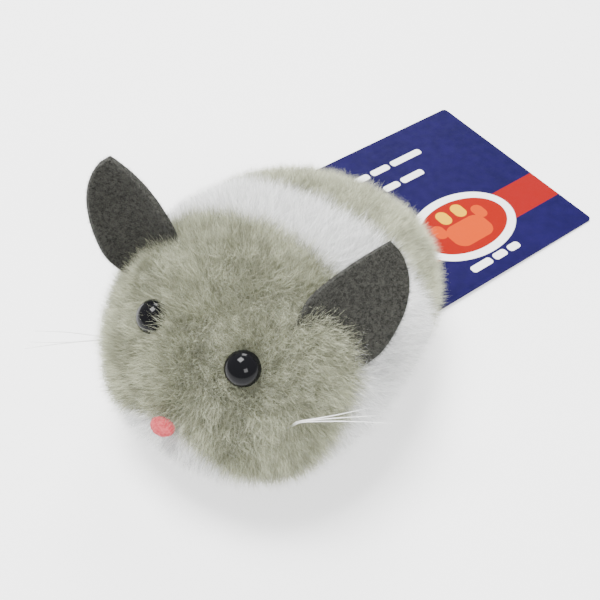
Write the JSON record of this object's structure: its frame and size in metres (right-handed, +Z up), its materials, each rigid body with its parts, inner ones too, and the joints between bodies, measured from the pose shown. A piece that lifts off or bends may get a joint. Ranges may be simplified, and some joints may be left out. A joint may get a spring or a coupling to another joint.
{
  "type": "clockwork mouse",
  "caption": "Small plush mouse with felt ears and bead eyes over a wind-up wheeled movement, with a flank key and a square card tag on a loop at the rump.",
  "frame": {"origin": "on the floor, midway between the two side plates, under the middle of the casing", "axes": "+Z up, nose towards -Y, +X is the mouse's left; every arbor lies along X"},
  "size_m": [0.0804, 0.1425, 0.0554],
  "materials": {
    "grey_pile": "long dense pile, soft",
    "white_pile": "long dense pile, soft",
    "felt": "pressed felt, matt",
    "stuffing": "polyester wadding",
    "bead": "polished black",
    "nose_pink": "flocked, soft pink",
    "nylon": "clear white nylon",
    "base_plastic": "fine moulded texture",
    "casing_plastic": "fine moulded texture",
    "key_plastic": "moulded, satin",
    "gear_plastic": "moulded acetal, satin",
    "steel": "bright zinc plated",
    "spring_steel": "blued",
    "plate_steel": "rolled, satin",
    "tyre_rubber": "matt",
    "hub_plastic": "moulded",
    "card": "printed card, semi-gloss varnish"
  },
  "bodies": {
    "mouse": {"head_panel": "grey_pile", "saddle_panel": "white_pile", "rump_panel": "grey_pile", "belly_panel": "white_pile", "head_wad": "stuffing", "back_wad": "stuffing", "rump_wad": "stuffing", "eye_left": "bead", "eye_right": "bead", "eye_washer_left": "key_plastic", "eye_washer_right": "key_plastic", "whiskers_left": "nylon", "whiskers_right": "nylon", "nose": "nose_pink", "ear_left": "felt", "ear_right": "felt", "base_plate": "base_plastic", "casing": "casing_plastic", "screw_1": "steel", "screw_2": "steel", "screw_3": "steel", "roller_pin": "steel", "side_plate_left": "plate_steel", "side_plate_right": "plate_steel", "pillar_1": "steel", "pillar_2": "steel", "pillar_3": "steel", "pillar_4": "steel", "key_sleeve": "key_plastic", "mainspring": "spring_steel", "tag_anchor": "nylon"},
    "great": {"great_wheel": "gear_plastic", "click_spring": "spring_steel"},
    "click": {"click": "steel"},
    "winder": {"winding_arbor": "steel", "ratchet_wheel": "steel", "winding_key": "key_plastic"},
    "intermediate": {"inter_arbor": "steel", "inter_pinion": "gear_plastic", "inter_wheel": "gear_plastic"},
    "drive": {"drive_axle": "steel", "drive_pinion": "gear_plastic", "hub_left": "hub_plastic", "hub_right": "hub_plastic", "tyre_left": "tyre_rubber", "tyre_right": "tyre_rubber"},
    "escape": {"escape_arbor": "steel", "escape_pinion": "gear_plastic", "escape_wheel": "gear_plastic"},
    "pallet": {"pallet_arbor": "steel", "pallet": "gear_plastic"},
    "roller": {"roller": "tyre_rubber"},
    "tag": {"tag_card": "card", "tag_loop": "nylon"}
  },
  "joints": [
    {"name": "great_wheel_turn", "type": "hinge", "parent": "mouse", "child": "great", "pos_m": [0, 0.008, 0.017], "axis": [1, 0, 0], "continuous": true},
    {"name": "winding_turn", "type": "hinge", "parent": "great", "child": "winder", "pos_m": [0, 0.008, 0.017], "axis": [1, 0, 0], "continuous": true, "deforming": ["mainspring"]},
    {"name": "click_lift", "type": "hinge", "parent": "great", "child": "click", "pos_m": [0, 0.0136, 0.017], "axis": [1, 0, 0], "range_deg": [0, 12], "deforming": ["click_spring"]},
    {"name": "intermediate_turn", "type": "hinge", "parent": "mouse", "child": "intermediate", "pos_m": [0, -0.004, 0.0173], "axis": [1, 0, 0], "continuous": true},
    {"name": "drive_axle_turn", "type": "hinge", "parent": "mouse", "child": "drive", "pos_m": [0, -0.00865, 0.008], "axis": [1, 0, 0], "continuous": true},
    {"name": "escape_wheel_turn", "type": "hinge", "parent": "mouse", "child": "escape", "pos_m": [0, -0.01342, 0.0217], "axis": [1, 0, 0], "continuous": true},
    {"name": "pallet_rock", "type": "hinge", "parent": "mouse", "child": "pallet", "pos_m": [0, -0.01402, 0.0153], "axis": [1, 0, 0], "range_deg": [-3, 3]},
    {"name": "roller_turn", "type": "hinge", "parent": "mouse", "child": "roller", "pos_m": [0, 0.015, 0.0036], "axis": [1, 0, 0], "continuous": true},
    {"name": "tag_lift", "type": "hinge", "parent": "mouse", "child": "tag", "pos_m": [-0.00708, 0.03229, 0.01], "axis": [0.9367, -0.3502, 0], "range_deg": [0, 95]}
  ],
  "couplings": [
    {"joint": "intermediate_turn", "follows": "drive_axle_turn", "ratio": -0.3},
    {"joint": "great_wheel_turn", "follows": "drive_axle_turn", "ratio": 0.075},
    {"joint": "escape_wheel_turn", "follows": "drive_axle_turn", "ratio": 1}
  ]
}
